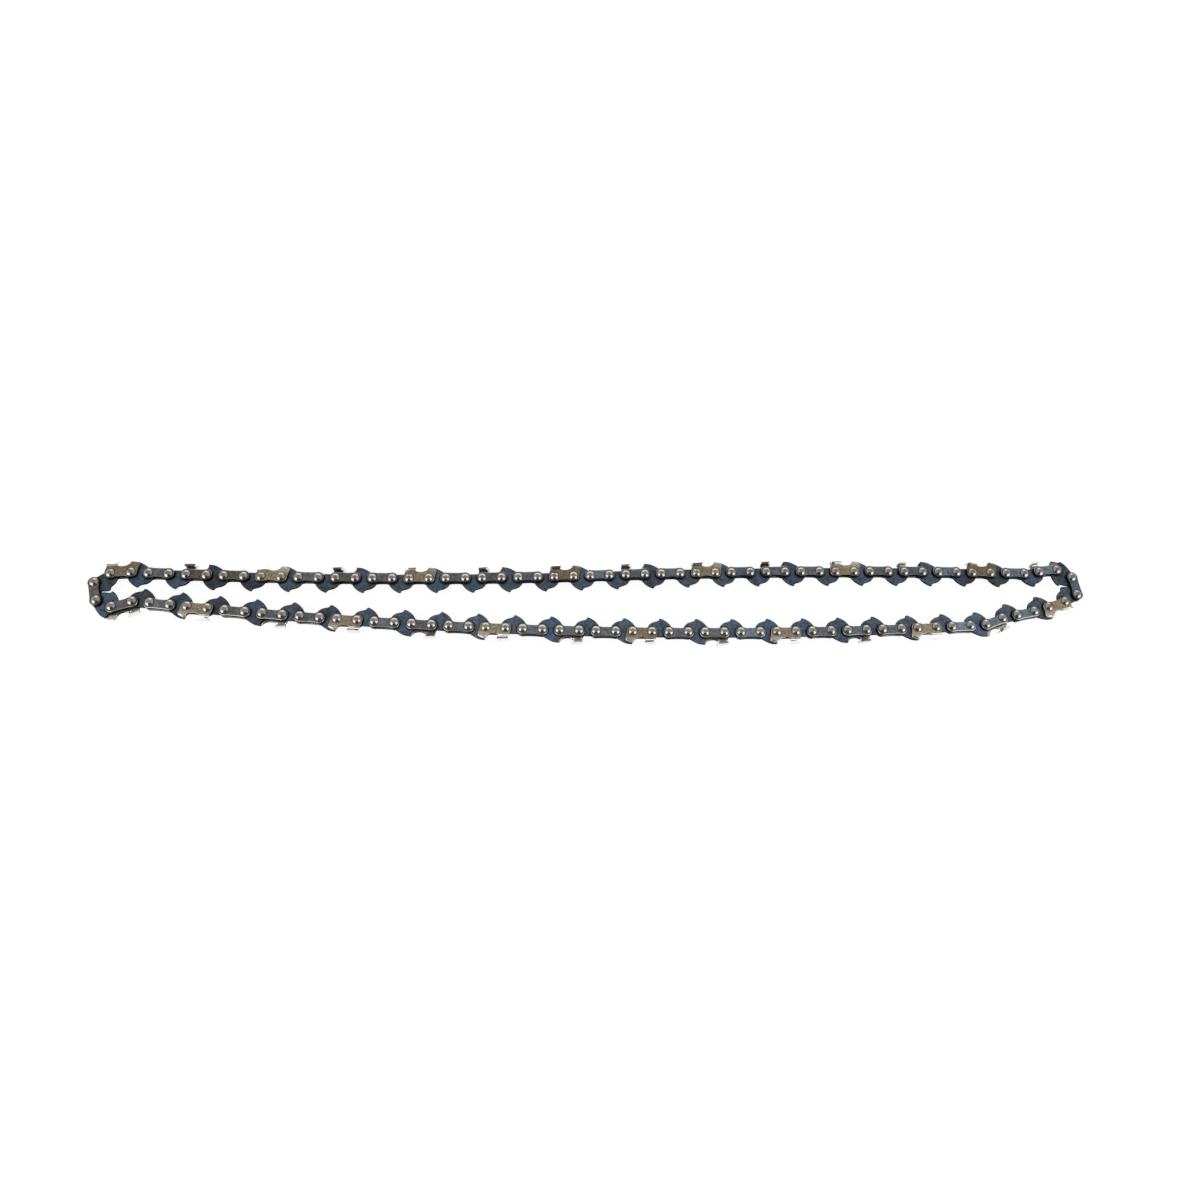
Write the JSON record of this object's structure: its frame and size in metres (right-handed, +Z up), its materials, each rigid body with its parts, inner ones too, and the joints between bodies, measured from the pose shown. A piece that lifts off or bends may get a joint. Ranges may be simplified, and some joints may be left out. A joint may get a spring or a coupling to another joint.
{
  "type": "chainsaw chain loop",
  "caption": "Closed loop of low-profile saw chain lying on its side: chisel cutters left and right in turn, waisted tie straps and blued drive links with bumper fins, riveted together.",
  "frame": {"origin": "middle of the loop's box, on the ground that it lies on", "axes": "+X along the loop's long axis, +Y across it in the plane it lies in, +Z up out of that plane, along the rivets"},
  "size_m": [0.5156, 0.0502, 0.0069],
  "materials": {
    "cutter_steel": "plated stamped steel with a faint golden cast",
    "strap_steel": "stamped steel, dark tempered grey, with bright spun rivets",
    "drive_link_steel": "stamped steel, tempered dark blue"
  },
  "bodies": {
    "root": {"right_cutter_01": "cutter_steel", "right_cutter_02": "cutter_steel", "right_cutter_03": "cutter_steel", "right_cutter_04": "cutter_steel", "right_cutter_05": "cutter_steel", "right_cutter_06": "cutter_steel", "right_cutter_07": "cutter_steel", "right_cutter_08": "cutter_steel", "right_cutter_09": "cutter_steel", "right_cutter_10": "cutter_steel", "right_cutter_11": "cutter_steel", "right_cutter_12": "cutter_steel", "right_cutter_13": "cutter_steel", "right_cutter_14": "cutter_steel", "left_cutter_01": "cutter_steel", "left_cutter_02": "cutter_steel", "left_cutter_03": "cutter_steel", "left_cutter_04": "cutter_steel", "left_cutter_05": "cutter_steel", "left_cutter_06": "cutter_steel", "left_cutter_07": "cutter_steel", "left_cutter_08": "cutter_steel", "left_cutter_09": "cutter_steel", "left_cutter_10": "cutter_steel", "left_cutter_11": "cutter_steel", "left_cutter_12": "cutter_steel", "left_cutter_13": "cutter_steel", "left_cutter_14": "cutter_steel", "tie_strap_pair_01": "strap_steel", "tie_strap_pair_02": "strap_steel", "tie_strap_pair_03": "strap_steel", "tie_strap_pair_04": "strap_steel", "tie_strap_pair_05": "strap_steel", "tie_strap_pair_06": "strap_steel", "tie_strap_pair_07": "strap_steel", "tie_strap_pair_08": "strap_steel", "tie_strap_pair_09": "strap_steel", "tie_strap_pair_10": "strap_steel", "tie_strap_pair_11": "strap_steel", "tie_strap_pair_12": "strap_steel", "tie_strap_pair_13": "strap_steel", "tie_strap_pair_14": "strap_steel", "tie_strap_pair_15": "strap_steel", "tie_strap_pair_16": "strap_steel", "tie_strap_pair_17": "strap_steel", "tie_strap_pair_18": "strap_steel", "tie_strap_pair_19": "strap_steel", "tie_strap_pair_20": "strap_steel", "tie_strap_pair_21": "strap_steel", "tie_strap_pair_22": "strap_steel", "tie_strap_pair_23": "strap_steel", "tie_strap_pair_24": "strap_steel", "tie_strap_pair_25": "strap_steel", "tie_strap_pair_26": "strap_steel", "tie_strap_pair_27": "strap_steel", "tie_strap_pair_28": "strap_steel", "plain_drive_links": "drive_link_steel", "bumper_drive_links": "drive_link_steel"}
  },
  "joints": []
}
